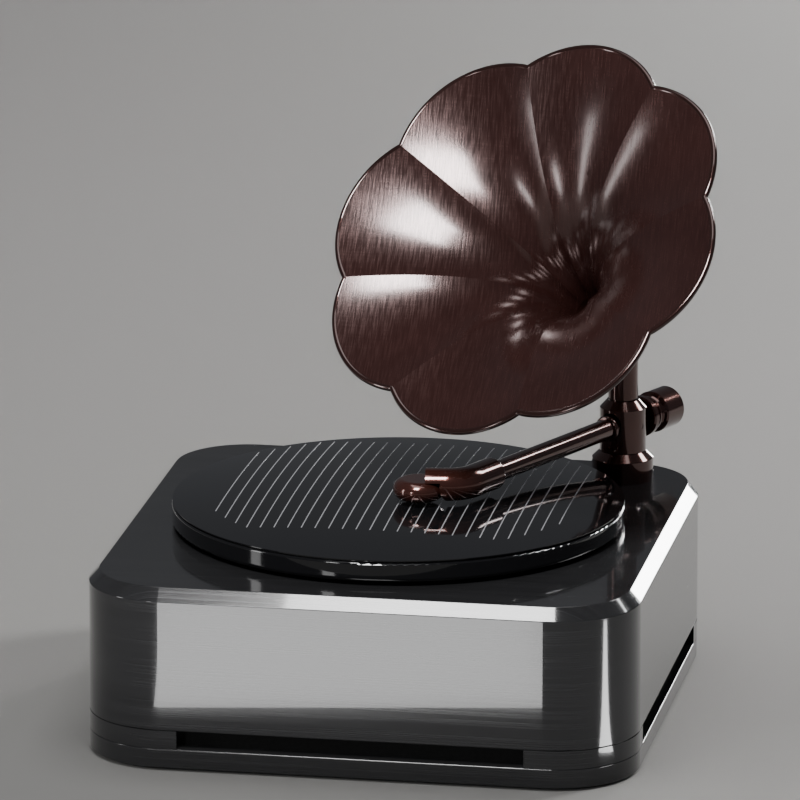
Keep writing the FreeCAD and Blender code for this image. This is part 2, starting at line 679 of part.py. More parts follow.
def arm_openings():
    """Clear ways through the housing for the arm and the stub, over the arm's lift."""
    rise = (HOUSING_R + ARM_ROOM) * math.sin(math.radians(LIFT)) + LIFT_ROOM
    reach = HOUSING_R + ARM_ROOM
    cuts = []
    for r, sign, low, high in ((ARM_R, 1, LIFT_ROOM, rise), (STUB_R, -1, rise, LIFT_ROOM)):
        far = PIVOT + ARM_DIR * (sign * reach)
        half = r + ARM_ROOM
        for dz in (-low, 0, high):
            cuts.append(rod(half, PIVOT + V(0, 0, dz), far + V(0, 0, dz)))
        slab = box(-half, half, 0, reach, -low, high)
        slab.rotate(V(0, 0, 0), UP, (180 if sign > 0 else 0) - AZIMUTH)
        slab.translate(PIVOT)
        cuts.append(slab)
    return cuts


def arm_housing():
    body = on_column(HOUSING_R, CAP_Z - HOUSING_Z, HOUSING_Z)
    body = body.cut(on_column(HOUSING_R - HOUSING_WALL, CAP_Z - HOUSING_Z - HOUSING_FLOOR,
                              HOUSING_Z + HOUSING_FLOOR))
    body = body.cut(on_column(BUSH_R, HOUSING_FLOOR, HOUSING_Z))
    for cutter in arm_openings():
        body = body.cut(cutter)
    return body.cut(rod(PIN_R, PIVOT - SIDE_DIR * HOUSING_R, PIVOT + SIDE_DIR * HOUSING_R))


def housing_cap():
    body = Part.makeCone(HOUSING_R, CAP_R, CAP_END - CAP_Z, V(COL_X, COL_Y, CAP_Z))
    return body.cut(on_column(BUSH_R, CAP_END - CAP_Z, CAP_Z))


def swivel_bushes():
    bore = TUBE_R + FIT_GAP
    return Part.makeCompound([ring(BUSH_R, bore, HOUSING_FLOOR, COL_X, COL_Y, HOUSING_Z),
                              ring(BUSH_R, bore, CAP_END - CAP_Z, COL_X, COL_Y, CAP_Z)])


def pivot_pins():
    inner, outer = RING_BORE + PIN_BACK, HOUSING_R - PIN_SINK
    return Part.makeCompound([rod(PIN_R, PIVOT + SIDE_DIR * (s * inner),
                                  PIVOT + SIDE_DIR * (s * outer))
                              for s in (-1, 1)])


# ---- tonearm
def along(d):
    """A point on the arm's axis, d in front of the column's axis."""
    return PIVOT + ARM_DIR * d


def gimbal_ring():
    z = ARM_Z - RING_H / 2
    body = ring(RING_R, RING_BORE, RING_H, COL_X, COL_Y, z)
    return body.cut(rod(PIN_R + FIT_GAP, PIVOT - SIDE_DIR * RING_R, PIVOT + SIDE_DIR * RING_R))


def ring_outside():
    return on_column(RING_R, 4 * RING_H, ARM_Z - 2 * RING_H)


def tonearm_tube():
    end = along(SHELL_START + SHELL_SOCKET)
    return rod(ARM_R, PIVOT, end).cut(rod(ARM_R - ARM_WALL, PIVOT, end)).cut(ring_outside())


def tube_ferrule():
    z0, z1 = along(HOUSING_R + FERRULE_GAP), along(HOUSING_R + FERRULE_GAP + FERRULE_LEN)
    body = rod(ARM_R + FERRULE_RIM, z0, z1)
    body = body.makeFillet(FERRULE_ROUND, [e for e in body.Edges if e.Curve.TypeId == "Part::GeomCircle"])
    return body.cut(rod(ARM_R, z0, z1))


def counterweight_stub():
    return rod(STUB_R, PIVOT, along(-STUB_END)).cut(ring_outside())


def shell_path(start):
    """The headshell's axis: on along the arm, round the bend and left over the soundbox."""
    corner = along(BEND_REACH)
    end = V(TONGUE_X, TONGUE_Y, ARM_Z)
    onward = (end - corner).normalize()
    half = ARM_DIR.getAngle(onward) / 2
    back = BEND_R * math.tan(half)
    a, b = corner - ARM_DIR * back, corner + onward * back
    inward = (onward - ARM_DIR).normalize()
    mid = corner + inward * (BEND_R / math.cos(half) - BEND_R)
    return Part.Wire([Part.LineSegment(along(start), a).toShape(), Part.Arc(a, mid, b).toShape(),
                      Part.LineSegment(b, end).toShape()])


def swept(r, path):
    first = path.Edges[0]
    at = first.valueAt(first.FirstParameter)
    along_it = first.tangentAt(first.FirstParameter)
    profile = Part.Wire(Part.Circle(at, along_it, r).toShape())
    return path.makePipeShell([profile], True, False)


def headshell():
    body = swept(SHELL_R, shell_path(SHELL_START))
    body = body.cut(swept(SHELL_R - SHELL_WALL, shell_path(SHELL_START + SHELL_SOCKET)))
    body = body.cut(rod(ARM_R, along(SHELL_START), along(SHELL_START + SHELL_SOCKET)))
    top = TOP + BOX_UP + BOX_H / 2 + BOX_HEADROOM
    body = body.cut(cyl(BOX_R + BOX_CLEAR, top - TOP, BOX_X, BOX_Y, TOP))
    rim = [e for e in body.Edges if e.Curve.TypeId == "Part::GeomCircle"
           and abs(e.Curve.Radius - SHELL_R) < NEAR
           and (e.Curve.Center - along(SHELL_START)).Length < NEAR]
    return body.makeFillet(SHELL_EDGE, rim)


def soundbox(lower):
    """Half of the pickup's flat round case, with a full round edge and a hollow inside."""
    z = TOP + BOX_UP
    body = cyl(BOX_R, BOX_H, BOX_X, BOX_Y, z - BOX_H / 2)
    for edge_z in (z - BOX_H / 2, z + BOX_H / 2):
        body = body.makeFillet((BOX_H - BOX_BAND) / 2, edges_at(body, edge_z))
    body = body.cut(cyl(BOX_R - BOX_WALL, BOX_HOLLOW, BOX_X, BOX_Y, z - BOX_HOLLOW / 2))
    half = cyl(BOX_R, BOX_H / 2, BOX_X, BOX_Y, z - BOX_H / 2 if lower else z)
    return body.common(half)


def mounting_post():
    """Ties the soundbox to the underside of the headshell's tongue."""
    z = TOP + BOX_UP + BOX_H / 2
    end = ARM_Z + SHELL_R - MOUNTING_SINK
    post = cyl(MOUNTING_R, end - z, TONGUE_X + POST_SHIFT, TONGUE_Y, z)
    return post.cut(headshell())


def pickup_coil():
    z = TOP + BOX_UP - BOX_HOLLOW / 2
    coil = ring(COIL_R, CORE_R, BOX_HOLLOW, BOX_X, BOX_Y, z)
    return coil.fuse(cyl(CORE_R, CORE_H, BOX_X, BOX_Y, z)).removeSplitter()


BOX_BOTTOM = TOP + BOX_UP - BOX_H / 2


def needle_spot():
    out = V(COL_X - BOX_X, COL_Y - BOX_Y, 0).normalize() * NEEDLE_BACK
    return BOX_X + out.x, BOX_Y + out.y


def needle_holder():
    x, y = needle_spot()
    return cyl(HOLDER_R, HOLDER_T, x, y, BOX_BOTTOM - HOLDER_T)


def stylus():
    x, y = needle_spot()
    surface = RECORD_TOP - DOME_R + math.sqrt(DOME_R ** 2 - x * x - y * y)
    tip = surface + NEEDLE_GAP
    return Part.makeCone(NEEDLE_TIP_R, NEEDLE_ROOT_R, BOX_BOTTOM - HOLDER_T - tip, V(x, y, tip))


def counterweight():
    """Turned weight: a disc, a ringed neck and a drum with a rounded end.

    Each step is a distance from its front and a depth below the drum's radius.
    """
    steps = [(0, 1.1), (1, 0.1), (4.4, 0.1), (5.4, 1.1), (5.8, 2.7), (6.8, 3.3), (8.4, 3.3),
             (9, 2.1), (10.4, 2.1), (11, 3.3), (12.6, 3.3), (13.8, 2.5), (14.6, 1), (15.6, 0),
             (WEIGHT_DRUM_END, 0)]
    points = [V(WEIGHT_START + d, WEIGHT_R - depth, 0) for d, depth in steps]
    start, end = points[0], points[-1]
    sphere = (WEIGHT_R ** 2 + WEIGHT_CROWN ** 2) / (2 * WEIGHT_CROWN)
    crown = V(end.x + WEIGHT_CROWN, 0, 0)
    half = math.asin(WEIGHT_R / sphere) / 2
    mid = V(crown.x - sphere * (1 - math.cos(half)), sphere * math.sin(half), 0)
    edges = [Part.LineSegment(V(start.x, 0, 0), start).toShape()]
    edges += [Part.LineSegment(p, q).toShape() for p, q in zip(points, points[1:])]
    edges.append(Part.Arc(end, mid, crown).toShape())
    edges.append(Part.LineSegment(crown, V(start.x, 0, 0)).toShape())
    body = Part.Face(Part.Wire(edges)).revolve(V(0, 0, 0), V(1, 0, 0), 360)
    body.rotate(V(0, 0, 0), UP, math.degrees(math.atan2(-ARM_DIR.y, -ARM_DIR.x)))
    body.translate(PIVOT)
    return body.cut(rod(STUB_R + FIT_GAP, PIVOT, along(-STUB_END - STUB_ROOM)))


# ---- horn
HORN_DIR = V(ARM_DIR.x * math.cos(math.radians(HORN_ELEVATION)),
             ARM_DIR.y * math.cos(math.radians(HORN_ELEVATION)),
             math.sin(math.radians(HORN_ELEVATION)))
HORN_A = V(0, 0, 1).cross(HORN_DIR).normalize()
HORN_B = HORN_DIR.cross(HORN_A)
ELBOW = V(COL_X, COL_Y, TOP + HORN_UP)
MOUTH = ELBOW + HORN_DIR * HORN_LEN
PIPE_Z = CAP_END + HORN_WASHER_GAP + HORN_WASHER_T + WASHER_PLAY
SECTOR = 360.0 / PETALS


def horn_point(depth, angle, r):
    """A point in the horn, from its depth behind the mouth and polar place about its axis."""
    t = math.radians(angle)
    return MOUTH - HORN_DIR * depth + HORN_A * (r * math.cos(t)) + HORN_B * (r * math.sin(t))


def tip_radius(depth):
    return HORN_MOUTH_R * math.exp(-depth / HORN_FLARE)


def lobe(tip, ratio, off):
    """Radius of one petal's arc at an angle off its middle."""
    cusp = tip * ratio
    half = math.radians(SECTOR / 2)
    chord, rise = cusp * math.sin(half), tip - cusp * math.cos(half)
    arc = (chord ** 2 + rise ** 2) / (2 * rise)
    centre = tip - arc
    t = math.radians(off)
    return centre * math.cos(t) + math.sqrt(arc ** 2 - (centre * math.sin(t)) ** 2)


def crease(depth):
    """Creases fade out just before the throat, which is round."""
    t = min(max((depth - THROAT_DEPTH + THROAT_FADE) / THROAT_FADE, 0.0), 1.0)
    return CUSP + (1 - CUSP) * t * t * (3 - 2 * t)


def skin_point(depth, off, middle, out):
    """On the inner skin, or out behind it by some thickness, square to the flare."""
    r = lobe(tip_radius(depth), crease(depth), off)
    slope = r / HORN_FLARE
    norm = math.hypot(1.0, slope)
    return horn_point(depth + out * slope / norm, middle + off, r + out / norm)


def spline_skin(rows):
    surface = Part.BSplineSurface()
    surface.interpolate(rows)
    return surface.toShape()


def closed_solid(faces):
    shell = Part.makeShell(faces)
    shell.sewShape()
    solid = Part.makeSolid(shell if shell.ShapeType == "Shell" else shell.Shells[0])
    if solid.Volume < 0:
        solid.reverse()
    return solid


def petal_angles():
    """Evenly spaced angles across one petal, off its middle."""
    return [SECTOR * (j / PETAL_COLUMNS - 0.5) for j in range(PETAL_COLUMNS + 1)]


def petal(middle):
    """One petal of the bell: two smooth skins closed by four narrow edges."""
    depths = [THROAT_DEPTH * (k / PETAL_ROWS) ** ROW_CROWDING for k in range(PETAL_ROWS + 1)]
    offs = petal_angles()
    skins = [spline_skin([[skin_point(d, o, middle, out) for o in offs] for d in depths])
             for out in (0.0, HORN_T)]
    edges = zip(skins[0].Edges, skins[1].Edges)
    return closed_solid(skins + [Part.makeRuledSurface(inner, outer) for inner, outer in edges])


def petal_middles():
    return [SECTOR * k for k in range(PETALS)]


def horn_petals():
    return Part.makeCompound([petal(m) for m in petal_middles()])


def bead(middle):
    """A round bar that follows one petal's arc, made of a front and a back half."""
    offs = petal_angles()
    halves = []
    for start in (0, 180):
        rows = []
        for off in offs:
            centre = horn_point(BEAD_BACK, middle + off, lobe(HORN_MOUTH_R, CUSP, off))
            out = horn_point(0, middle + off, 1) - MOUTH
            turns = [math.radians(start + 180 * k / BEAD_SPANS) for k in range(BEAD_SPANS + 1)]
            rows.append([centre + out * (BEAD_R * math.cos(t)) + HORN_DIR * (BEAD_R * math.sin(t))
                         for t in turns])
        halves.append(rows)
    skins = [spline_skin(rows) for rows in halves]
    ends = []
    for off in (offs[0], offs[-1]):
        across = HORN_DIR.cross(horn_point(0, middle + off, 1) - MOUTH)
        centre = horn_point(BEAD_BACK, middle + off, lobe(HORN_MOUTH_R, CUSP, off))
        rim = [e for skin in skins for e in skin.Edges
               if all(abs((v.Point - centre).dot(across)) < 1e-6 for v in e.Vertexes)]
        ends.append(Part.Face(Part.Wire(Part.__sortEdges__(rim))))
    return closed_solid(skins + ends)


def rim_bead():
    """The rolled edges of the petals, which meet at the creases."""
    return Part.makeCompound([bead(m) for m in petal_middles()])


def horn_pipe():
    length = TOP + HORN_UP - PIPE_STOP - PIPE_Z
    return ring(HORN_PIPE_R, TUBE_R + FIT_GAP, length, COL_X, COL_Y, PIPE_Z)


def horn_elbow():
    turn = math.radians(90 - HORN_ELEVATION)
    back = ELBOW_R * math.tan(turn / 2)
    a, b = ELBOW - V(0, 0, back), ELBOW + HORN_DIR * back
    centre = a + ARM_DIR * ELBOW_R
    mid = centre + (ELBOW - centre).normalize() * ELBOW_R
    path = Part.Wire([Part.LineSegment(ELBOW - V(0, 0, PIPE_STOP), a).toShape(),
                      Part.Arc(a, mid, b).toShape(),
                      Part.LineSegment(b, ELBOW + HORN_DIR * NECK_START).toShape()])
    return swept(HORN_PIPE_R, path).cut(swept(HORN_PIPE_R - ELBOW_WALL, path))


def horn_neck():
    start = ELBOW + HORN_DIR * NECK_START
    length = HORN_LEN - THROAT_DEPTH - NECK_START
    wide = tip_radius(THROAT_DEPTH)
    neck = Part.makeCone(HORN_PIPE_R, wide + HORN_T, length, start, HORN_DIR)
    bore = Part.makeCone(HORN_PIPE_R - ELBOW_WALL, wide, length, start, HORN_DIR)
    return neck.cut(bore)


def horn_ferrule():
    a, b = ELBOW + HORN_DIR * HORN_FERRULE_START, ELBOW + HORN_DIR * HORN_FERRULE_END
    body = rod(HORN_PIPE_R + HORN_FERRULE_RIM, a, b)
    body = body.makeFillet(HORN_FERRULE_ROUND,
                           [e for e in body.Edges if e.Curve.TypeId == "Part::GeomCircle"])
    body = body.cut(rod(HORN_PIPE_R, a, ELBOW + HORN_DIR * NECK_START)).cut(horn_neck())
    return body.cut(rod(HORN_PIPE_R - HORN_FERRULE_LIP, a, b))


# ---- rear panel
def power_socket():
    out = V(0, 1, 0)
    body = cyl(SOCKET_R, SOCKET_DEEP, SOCKET_X, REAR - SOCKET_DEEP, REAR_Z, out)
    body = body.fuse(cyl(SOCKET_R + SOCKET_LIP, SOCKET_LIP_T, SOCKET_X, REAR, REAR_Z, out))
    return body.cut(cyl(SOCKET_BORE, SOCKET_WELL + SOCKET_LIP_T, SOCKET_X, REAR - SOCKET_WELL,
                        REAR_Z, out))


def socket_pin():
    return cyl(SOCKET_PIN_R, SOCKET_PIN_LEN, SOCKET_X, REAR - SOCKET_WELL, REAR_Z, V(0, 1, 0))


ROCKER_Y = REAR - ROCKER_SINK


def switch_body():
    w, h = SWITCH_W / 2, SWITCH_H / 2
    body = box(SWITCH_X - w, SWITCH_X + w, REAR - SWITCH_DEEP, REAR, REAR_Z - h, REAR_Z + h)
    lip = box(SWITCH_X - w - SWITCH_LIP, SWITCH_X + w + SWITCH_LIP, REAR, REAR + SWITCH_LIP_T,
              REAR_Z - h - SWITCH_LIP, REAR_Z + h + SWITCH_LIP)
    inside, room = w - SWITCH_SIDE, ROCKER_R + ROCKER_ROOM
    well = cyl(room, 2 * inside, SWITCH_X - inside, ROCKER_Y, REAR_Z, V(1, 0, 0))
    mouth = box(SWITCH_X - inside, SWITCH_X + inside, ROCKER_Y, REAR + SWITCH_LIP_T,
                REAR_Z - room, REAR_Z + room)
    return body.fuse(lip).removeSplitter().cut(well).cut(mouth)


def switch_rocker():
    """A round-backed rocker whose face is two flats that meet at its middle."""
    w = SWITCH_W / 2 - SWITCH_SIDE - ROCKER_ROOM
    body = cyl(ROCKER_R, 2 * w, SWITCH_X - w, ROCKER_Y, REAR_Z, V(1, 0, 0))
    clear = 2 * ROCKER_R
    for side in (-1, 1):
        cutter = box(SWITCH_X - w, SWITCH_X + w, ROCKER_FACE, clear, min(side * clear, 0),
                     max(side * clear, 0))
        cutter.rotate(V(0, 0, 0), V(1, 0, 0), -side * ROCKER_SLOPE)
        cutter.translate(V(0, ROCKER_Y, REAR_Z))
        body = body.cut(cutter)
    body.rotate(V(SWITCH_X, ROCKER_Y, REAR_Z), V(1, 0, 0), -ROCKER_TILT)
    return body


def main():
    os.makedirs("parts", exist_ok=True)
    record, lines = record_and_lines()
    save("record", record)
    save("record_lines", lines)
    save("soundbox_base", soundbox(True))
    save("soundbox_cover", soundbox(False))
    makers = [plinth_shell, corner_spacers, slot_baffles, bottom_board, base_felt, base_screws,
              m3_screws, amplifier_board, board_posts, capacitors, heat_sink, bearing_housing,
              thrust_ball, platter_shaft, sub_platter, platter, platter_mat, motor_can,
              motor_plate, motor_shaft, motor_pulley, drive_belt, driver_throat, driver_magnet,
              driver_diaphragm, driver_cover, sound_tube, tube_nut, column_collar,
              thrust_washers, arm_housing, housing_cap, swivel_bushes, pivot_pins, gimbal_ring,
              tonearm_tube, tube_ferrule, counterweight_stub, headshell, mounting_post,
              pickup_coil, needle_holder, stylus, counterweight, horn_petals, rim_bead,
              horn_pipe, horn_elbow, horn_neck, horn_ferrule, power_socket, socket_pin,
              switch_body, switch_rocker]
    for make in makers:
        save(make.__name__, make())


main()
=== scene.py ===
import math

import bmesh
import bpy
from mathutils import Euler, Matrix, Vector


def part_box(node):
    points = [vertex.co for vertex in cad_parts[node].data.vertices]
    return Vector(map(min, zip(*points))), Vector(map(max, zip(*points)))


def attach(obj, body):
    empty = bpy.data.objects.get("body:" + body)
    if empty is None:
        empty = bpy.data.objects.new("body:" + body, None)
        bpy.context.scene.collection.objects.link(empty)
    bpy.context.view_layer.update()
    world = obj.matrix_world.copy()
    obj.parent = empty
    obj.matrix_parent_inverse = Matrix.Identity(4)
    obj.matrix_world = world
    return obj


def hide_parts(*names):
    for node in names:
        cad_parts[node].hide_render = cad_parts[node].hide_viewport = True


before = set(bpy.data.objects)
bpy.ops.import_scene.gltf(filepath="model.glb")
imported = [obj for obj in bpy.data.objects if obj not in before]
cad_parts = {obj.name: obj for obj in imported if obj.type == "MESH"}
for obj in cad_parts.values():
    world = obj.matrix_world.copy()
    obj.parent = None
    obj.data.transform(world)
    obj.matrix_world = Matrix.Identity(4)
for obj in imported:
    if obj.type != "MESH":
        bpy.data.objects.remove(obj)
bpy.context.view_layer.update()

# ---- The room: a wide pale floor under a dim soft sky, so that gloss black stays black.
# The floor runs far past the object on every side.
FLOOR_REACH = 14.0
FLOOR_COLOR, FLOOR_ROUGHNESS = (0.50, 0.49, 0.47, 1), 0.85
SKY_COLOR, SKY_STRENGTH = (0.9, 0.93, 1.0, 1), 0.09
bpy.ops.mesh.primitive_plane_add(size=2 * FLOOR_REACH)
floor = bpy.context.object
floor.name = "floor"
floor_paint = bpy.data.materials.new("floor_paint")
floor_paint.use_nodes = True
floor_sockets = floor_paint.node_tree.nodes["Principled BSDF"].inputs
floor_sockets["Base Color"].default_value = FLOOR_COLOR
floor_sockets["Roughness"].default_value = FLOOR_ROUGHNESS
floor.data.materials.append(floor_paint)

sky = bpy.data.worlds.new("sky")
sky.use_nodes = True
sky_sockets = sky.node_tree.nodes["Background"].inputs
sky_sockets["Color"].default_value = SKY_COLOR
sky_sockets["Strength"].default_value = SKY_STRENGTH
bpy.context.scene.world = sky

# ---- The camera: well back with a long lens, a little to the right and above.
# It is pitched down, turned towards the object and then rolled by a hair.
CAMERA_PLACE = (1.0469, -5.9256, 1.8518)
LENS_MM, FAR_CLIP = 429.7, 100
PITCH, TURN, ROLL = math.radians(90 - 15.31), math.radians(10.01), math.radians(0.06)
camera_data = bpy.data.cameras.new("camera")
camera_data.lens = LENS_MM
camera_data.clip_end = FAR_CLIP
camera = bpy.data.objects.new("camera", camera_data)
camera.location = CAMERA_PLACE
level_view = Euler((PITCH, 0, TURN)).to_matrix()
camera.rotation_euler = (level_view @ Matrix.Rotation(ROLL, 3, "Z")).to_euler()
bpy.context.scene.collection.objects.link(camera)
bpy.context.scene.camera = camera

# ---- Lights: a key box for the bell, one overhead, and slim boxes for the edges.
# Two panels lie on the floor and show only in the plinth's sides.
PANEL_RISE = 0.004


def softbox(name, place, aim, width, height, watts):
    """A rectangular soft light that faces a point and isn't seen itself."""
    data = bpy.data.lights.new(name, "AREA")
    data.shape = "RECTANGLE"
    data.size, data.size_y, data.energy = width, height, watts
    lamp = bpy.data.objects.new(name, data)
    lamp.location = place
    lamp.rotation_euler = (Vector(aim) - Vector(place)).to_track_quat("-Z", "Y").to_euler()
    lamp.visible_camera = False
    bpy.context.scene.collection.objects.link(lamp)
    return lamp


def light_only(lamp, pieces, state="INCLUDE"):
    """Links a light to some pieces, or to all but those."""
    group = bpy.data.collections.new(f"{lamp.name}_pieces")
    for piece in pieces:
        group.objects.link(piece)
    for link in group.collection_objects:
        link.light_linking.link_state = state
    lamp.light_linking.receiver_collection = group


def low_panel(name, x, y, width, length, turn, watts):
    """A panel that lies on the floor, faces up, and shows only in the plinth's sides."""
    panel = softbox(name, (x, y, PANEL_RISE), (x, y, 1), width, length, watts)
    panel.rotation_euler = Euler((math.pi, 0, math.radians(turn)))
    light_only(panel, [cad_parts[node] for node in
                       ("plinth_shell", "corner_spacers", "bottom_board")])


overhead = softbox("overhead", place=(0.0, 0.1, 3.0), aim=(0, 0, 0), width=2.0, height=2.0, watts=30)
bell_key = softbox("bell_key", place=(-0.17, -1.43, 2.27), aim=(0.05, 0.09, 0.3),
                   width=0.72, height=0.92, watts=130)
light_only(bell_key, [floor], "EXCLUDE")
softbox("left_strip", place=(-1.9, -0.9, 0.5), aim=(0.05, 0.0, 0.3), width=0.22, height=1.0, watts=6)
softbox("right_back", place=(1.47, 1.15, 1.51), aim=(0.1, 0.08, 0.16), width=0.42, height=0.6, watts=20)
softbox("throat_glint", place=(-0.775, -1.72, 0.43), aim=(0.07, 0.09, 0.33),
        width=0.2, height=0.5, watts=4)
softbox("back_edge", place=(0.98, 3.1, 0.52), aim=(0.18, 0, 0.12), width=0.7, height=0.3, watts=24)
low_panel("front_panel", x=-0.062, y=-0.497, width=0.278, length=0.355, turn=-10.01, watts=4.4)
low_panel("corner_panel", x=0.370, y=-0.204, width=0.035, length=0.30, turn=78, watts=0.9)


# ---- Plinth: a deep metal body with a bevelled top edge, on spacers over a bottom board.
# All of it is brushed along its length and then lacquered to a black mirror gloss.
FINE_LINES, BROAD_LINES = 1500, 260
TOP_FACING = 0.6    # a normal that points up by more than this is on the top


class Shade:
    """A socket of a material. Arithmetic on it adds Math nodes."""

    def __init__(self, tree, socket=None):
        self.tree, self.socket = tree, socket

    def node(self, kind, settings=None, sockets=None, out=0):
        made = self.tree.nodes.new(kind)
        for name, value in (settings or {}).items():
            if name == "stops":
                ramp = made.color_ramp.elements
                while len(ramp) < len(value):
                    ramp.new(0.5)
                for element, (at, shade) in zip(ramp, value):
                    element.position = at
                    element.color = shade if isinstance(shade, tuple) else (shade, shade, shade, 1)
            else:
                setattr(made, name, value)
        for name, value in (sockets or {}).items():
            if isinstance(value, Shade):
                self.tree.links.new(value.socket, made.inputs[name])
            else:
                made.inputs[name].default_value = value
        return Shade(self.tree, made.outputs[out])

    def math(self, operation, *values):
        return self.node("ShaderNodeMath", {"operation": operation}, dict(enumerate(values)))

    def __add__(self, other):
        return self.math("ADD", self, other)

    def __rsub__(self, other):
        return self.math("SUBTRACT", other, self)

    def __mul__(self, other):
        return self.math("MULTIPLY", self, other)

    __radd__, __rmul__ = __add__, __mul__


class Finish:
    """A material, its main shader, and a Shade to build its patterns from."""

    def __init__(self, name, color, roughness, metallic=0.0, **constants):
        self.material = bpy.data.materials.new(name)
        self.material.use_nodes = True
        self.tree = self.material.node_tree
        self.shader = self.tree.nodes["Principled BSDF"]
        self.shade = Shade(self.tree)
        self.set({"Base Color": (*color, 1), "Roughness": roughness, "Metallic": metallic})
        self.set({key.replace("_", " ").title().replace("Ior", "IOR"): value
                  for key, value in constants.items()})
        place = self.shade.node("ShaderNodeTexCoord", out="Object")
        self.x, self.y, self.z = [self.shade.node("ShaderNodeSeparateXYZ", None, {0: place}, k)
                                  for k in range(3)]

    def set(self, sockets):
        for name, value in sockets.items():
            if isinstance(value, Shade):
                self.tree.links.new(value.socket, self.shader.inputs[name])
            else:
                self.shader.inputs[name].default_value = value

    def noise(self, x, y, z, scale=1.0, detail=2.0):
        at = self.shade.node("ShaderNodeCombineXYZ", None, {0: x, 1: y, 2: z})
        return self.shade.node("ShaderNodeTexNoise", None,
                               {"Vector": at, "Scale": scale, "Detail": detail})

    def tint(self, mask, dark, light):
        return self.shade.node("ShaderNodeMix", {"data_type": "RGBA"},
                               {0: mask, 6: (*dark, 1), 7: (*light, 1)}, 2)

    def bump(self, height, strength, distance):
        return self.shade.node("ShaderNodeBump", None, {"Height": height, "Strength": strength,
                                                        "Distance": distance})


def paint(finish, *nodes):
    """Puts a finish on CAD nodes that keep their shapes."""
    for node in nodes:
        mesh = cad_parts[node].data
        mesh.materials.clear()
        mesh.materials.append(finish.material)


def brushed_lacquer(name, depth):
    """Brush lines run round the sides and from left to right across the top."""
    f = Finish(name, (0.006, 0.006, 0.0065), 0.1, ior=1.3, coat_weight=1.0, coat_roughness=0.03,
               coat_ior=1.3)
    normal = f.shade.node("ShaderNodeNewGeometry", out="Normal")
    up = f.shade.node("ShaderNodeSeparateXYZ", None, {0: normal}, 2)
    top = f.shade.math("GREATER_THAN", up, TOP_FACING)
    side = 1 - top
    along, across = f.x + f.y * side, f.z * side + f.y * top
    lines = f.noise(along * 5, 0.0, across * FINE_LINES, detail=3.0)
    broad = f.noise(along * 2, 0.0, across * BROAD_LINES)
    mask = lines * 0.65 + broad * 0.35
    f.set({"Base Color": f.tint(mask, (0.001, 0.001, 0.0011), (0.020, 0.020, 0.021)),
           "Roughness": 0.04 + mask * depth,
           "Normal": f.bump(mask, 0.5, 0.00006)})
    return f


paint(brushed_lacquer("plinth_lacquer", 0.2), "plinth_shell", "corner_spacers", "bottom_board")
# Painted shade: the baffles in the gap between the shell and the bottom board are matte near-black, so
# the gap reads as deep shadow.
slot_painted_shade = Finish("slot_painted_shade", (0.002, 0.002, 0.002), 0.9)
slot_dust = slot_painted_shade.noise(slot_painted_shade.x, slot_painted_shade.y, slot_painted_shade.z, 400)
slot_painted_shade.set({"Roughness": 0.8 + slot_dust * 0.2})
paint(slot_painted_shade, "slot_baffles")

# ---- Platter and record: a turned platter with a round lower edge under a domed record.
# Both are polished black; thin bright lines are let into the record from front to back.
gloss = Finish("platter_gloss", (0.004, 0.004, 0.0045), 0.06, ior=1.35, coat_weight=1.0,
               coat_roughness=0.02, coat_ior=1.3)
smear = gloss.noise(gloss.x, gloss.y, gloss.z, 9, 4.0)
gloss.set({"Roughness": 0.05 + smear * 0.05})
record_low, record_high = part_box("record")
RECORD_R = record_high.x
DOME_R = 1.424
SHARP = math.radians(38)


def dome_height(x, y):
    """Height of the record's domed top."""
    return record_high.z - DOME_R + math.sqrt(DOME_R ** 2 - x * x - y * y)


def add_piece(name, bm, finish, body, slot, *nodes):
    """Makes a piece from a bmesh, smooth but for its sharp edges, that stands for CAD nodes."""
    for face in bm.faces:
        face.smooth = True
    mesh = bpy.data.meshes.new(name)
    bm.to_mesh(mesh)
    bm.free()
    mesh.set_sharp_from_angle(angle=SHARP)
    mesh.materials.append(finish.material)
    piece = bpy.data.objects.new(name, mesh)
    bpy.context.scene.collection.objects.link(piece)
    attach(piece, body)
    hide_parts(*nodes)
    return piece


def turned(profile, steps=192):
    """A solid of revolution about Z, from (radius, height) points that run up its outside."""
    bm = bmesh.new()
    line = [bm.verts.new((r, 0, z)) for r, z in profile]
    for low, high in zip(line, line[1:]):
        bm.edges.new((low, high))
    bmesh.ops.spin(bm, geom=bm.verts[:] + bm.edges[:], axis=(0, 0, 1), cent=(0, 0, 0),
                   angle=2 * math.pi, steps=steps, use_merge=True)
    bmesh.ops.remove_doubles(bm, verts=bm.verts, dist=1e-6)
    bmesh.ops.recalc_face_normals(bm, faces=bm.faces)
    return bm


HOLE_R = 0.00365
EDGE = 0.0003
RINGS = 40
profile = [(HOLE_R, record_low.z), (RECORD_R - EDGE, record_low.z), (RECORD_R, record_low.z + EDGE)]
for k in range(RINGS + 1):
    r = RECORD_R - (RECORD_R - HOLE_R) * k / RINGS
    profile.append((r, dome_height(r, 0)))
add_piece("record_disc", turned(profile + profile[:1]), gloss, "platter_assembly", "record_black",
          "record")

# ---- Inlay: bright lines at an even pitch, which follow the dome from front to back.
# They end on one arc at the front and a wider one at the back, or at a straight stop.
LINE_PITCH, LINE_FIRST, LINE_COUNT, LINE_W = 0.009, -0.1102, 26, 0.0007
FRONT_ARC_R, FRONT_STOP = 0.1255, 0.094
BACK_ARC_R, BACK_STOP = 0.1425, 0.124
LINE_LIFT, LINE_T = 0.00002, 0.0002
bm = bmesh.new()
for k in range(LINE_COUNT):
    x = LINE_FIRST + LINE_PITCH * k
    front = -min(FRONT_STOP, math.sqrt(FRONT_ARC_R ** 2 - x * x))
    back = min(BACK_STOP, math.sqrt(BACK_ARC_R ** 2 - x * x))
    strip = bmesh.ops.create_grid(bm, x_segments=2, y_segments=24, size=0.5)["verts"]
    for vert in strip:
        y = front + (back - front) * (vert.co.y + 0.5)
        across = x + LINE_W * vert.co.x
        vert.co = (across, y, dome_height(across, y) + LINE_LIFT)
